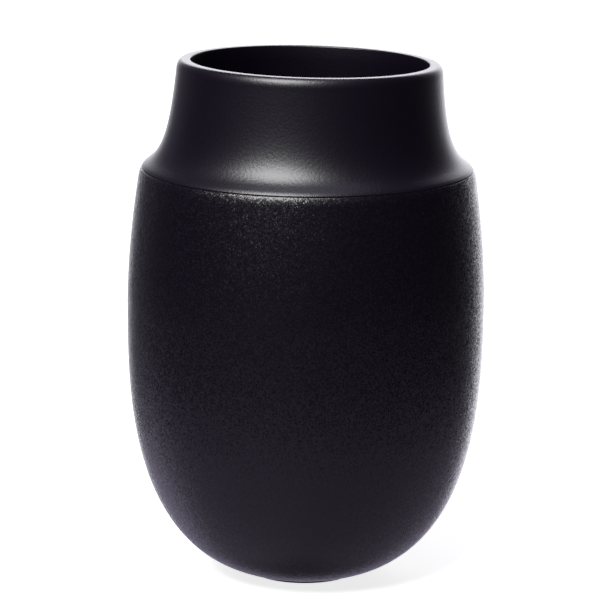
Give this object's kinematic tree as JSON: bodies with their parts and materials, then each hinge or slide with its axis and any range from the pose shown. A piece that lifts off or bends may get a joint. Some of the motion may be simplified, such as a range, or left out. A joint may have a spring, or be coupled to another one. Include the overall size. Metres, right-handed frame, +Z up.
{
  "type": "candle jar",
  "caption": "Empty black stoneware candle jar: egg-shaped sandy body, smooth flared collar with a rounded lip, and an open mouth.",
  "frame": {"origin": "centre of the pad's underside, on the surface the jar stands on", "axes": "+Z up along the jar's axis, out of the mouth; the jar is turned, so X and Y are alike"},
  "size_m": [0.114, 0.114, 0.1667],
  "materials": {
    "sandy_stoneware": "matte, fine sandy grain",
    "satin_stoneware": "smooth satin glaze",
    "joint_sealant": "matte",
    "lining_glaze": "smooth satin glaze",
    "pad_rubber": "matte"
  },
  "bodies": {
    "root": {"body_shell": "sandy_stoneware", "neck_collar": "satin_stoneware", "joint_bead": "joint_sealant", "inner_glaze": "lining_glaze", "base_pad": "pad_rubber"}
  },
  "joints": []
}
